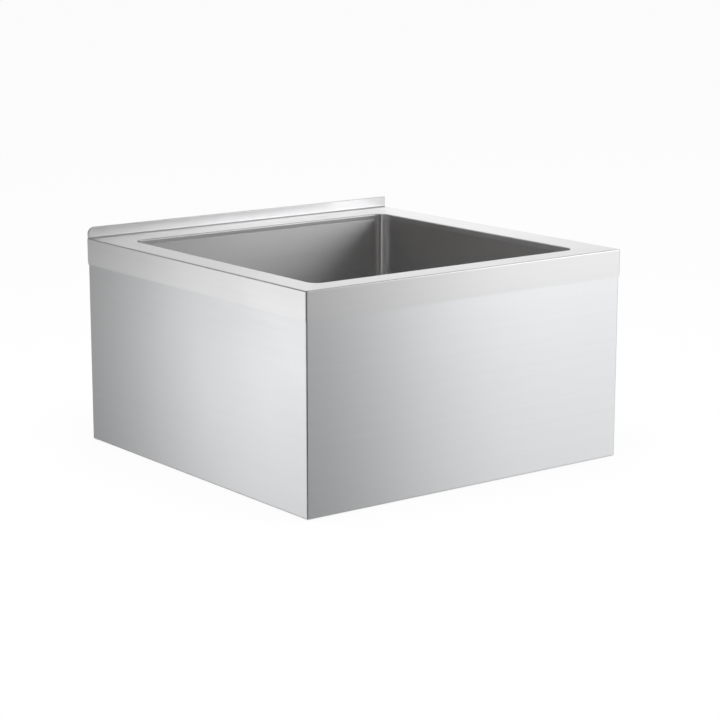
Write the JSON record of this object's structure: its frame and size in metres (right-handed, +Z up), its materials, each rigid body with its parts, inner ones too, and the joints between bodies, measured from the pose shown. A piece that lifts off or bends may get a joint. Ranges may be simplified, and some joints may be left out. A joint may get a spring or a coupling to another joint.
{
  "type": "mop sink",
  "caption": "Floor-standing stainless mop sink: flat deck with a turned-down skirt and low wall splash, deep coved bowl with a basket drain, plain apron, levelling feet.",
  "frame": {"origin": "on the floor under the middle of the deck", "axes": "+X along the front towards the right, +Y from the front towards the wall, +Z up"},
  "size_m": [0.7366, 0.73, 0.4279],
  "materials": {
    "deck_steel": "brushed stainless, fine grain along each side",
    "bowl_steel": "brushed stainless, satin",
    "panel_steel": "brushed stainless, fine upright grain",
    "frame_steel": "mill finish stainless",
    "foot_steel": "zinc plated",
    "foot_plastic": "moulded black",
    "drain_steel": "turned stainless, satin",
    "basket_steel": "pressed stainless, bright",
    "knob_chrome": "polished",
    "stopper_rubber": "moulded black",
    "gasket_rubber": "cut sheet, matt",
    "washer_fibre": "pressed fibre",
    "locknut_brass": "cast and turned"
  },
  "bodies": {
    "sink": {"deck": "deck_steel", "bowl": "bowl_steel", "apron": "panel_steel", "back_panel": "panel_steel", "drain_body": "drain_steel", "drain_gasket": "gasket_rubber", "drain_washer": "washer_fibre", "drain_locknut": "locknut_brass", "corner_post_front_left": "frame_steel", "foot_plate_front_left": "frame_steel", "foot_weld_nut_front_left": "foot_steel", "foot_lock_nut_front_left": "foot_steel", "corner_post_front_right": "frame_steel", "foot_plate_front_right": "frame_steel", "foot_weld_nut_front_right": "foot_steel", "foot_lock_nut_front_right": "foot_steel", "corner_post_back_left": "frame_steel", "foot_plate_back_left": "frame_steel", "foot_weld_nut_back_left": "foot_steel", "foot_lock_nut_back_left": "foot_steel", "corner_post_back_right": "frame_steel", "foot_plate_back_right": "frame_steel", "foot_weld_nut_back_right": "foot_steel", "foot_lock_nut_back_right": "foot_steel"},
    "basket": {"basket": "basket_steel", "stem_clip": "basket_steel"},
    "stopper": {"stopper_stem": "basket_steel", "stopper_knob": "knob_chrome", "stopper_rubber": "stopper_rubber", "stopper_rivet": "basket_steel"},
    "pad_front_left": {"foot_pad_front_left": "foot_plastic"},
    "stem_front_left": {"foot_stem_front_left": "foot_steel"},
    "pad_front_right": {"foot_pad_front_right": "foot_plastic"},
    "stem_front_right": {"foot_stem_front_right": "foot_steel"},
    "pad_back_left": {"foot_pad_back_left": "foot_plastic"},
    "stem_back_left": {"foot_stem_back_left": "foot_steel"},
    "pad_back_right": {"foot_pad_back_right": "foot_plastic"},
    "stem_back_right": {"foot_stem_back_right": "foot_steel"}
  },
  "joints": [
    {"name": "foot_travel_front_left", "type": "slide", "parent": "sink", "child": "pad_front_left", "axis": [0, 0, -1], "range_m": [0, 0.012]},
    {"name": "foot_turn_front_left", "type": "hinge", "parent": "pad_front_left", "child": "stem_front_left", "pos_m": [-0.3335, -0.3302, 0.012], "axis": [0, 0, -1], "range_deg": [0, 2880.1]},
    {"name": "foot_travel_front_right", "type": "slide", "parent": "sink", "child": "pad_front_right", "axis": [0, 0, -1], "range_m": [0, 0.012]},
    {"name": "foot_turn_front_right", "type": "hinge", "parent": "pad_front_right", "child": "stem_front_right", "pos_m": [0.3335, -0.3302, 0.012], "axis": [0, 0, -1], "range_deg": [0, 2880.1]},
    {"name": "foot_travel_back_left", "type": "slide", "parent": "sink", "child": "pad_back_left", "axis": [0, 0, -1], "range_m": [0, 0.012]},
    {"name": "foot_turn_back_left", "type": "hinge", "parent": "pad_back_left", "child": "stem_back_left", "pos_m": [-0.3323, 0.3302, 0.012], "axis": [0, 0, -1], "range_deg": [0, 2880.1]},
    {"name": "foot_travel_back_right", "type": "slide", "parent": "sink", "child": "pad_back_right", "axis": [0, 0, -1], "range_m": [0, 0.012]},
    {"name": "foot_turn_back_right", "type": "hinge", "parent": "pad_back_right", "child": "stem_back_right", "pos_m": [0.3323, 0.3302, 0.012], "axis": [0, 0, -1], "range_deg": [0, 2880.1]},
    {"name": "basket_lift", "type": "slide", "parent": "sink", "child": "basket", "axis": [0, 0, 1], "range_m": [0, 0.4]},
    {"name": "stopper_lift", "type": "slide", "parent": "basket", "child": "stopper", "axis": [0, 0, 1], "range_m": [0, 0.008]}
  ],
  "couplings": [
    {"joint": "foot_turn_front_left", "follows": "foot_travel_front_left", "rad_per_m": 4188.8},
    {"joint": "foot_turn_front_right", "follows": "foot_travel_front_right", "rad_per_m": 4188.8},
    {"joint": "foot_turn_back_left", "follows": "foot_travel_back_left", "rad_per_m": 4188.8},
    {"joint": "foot_turn_back_right", "follows": "foot_travel_back_right", "rad_per_m": 4188.8}
  ]
}
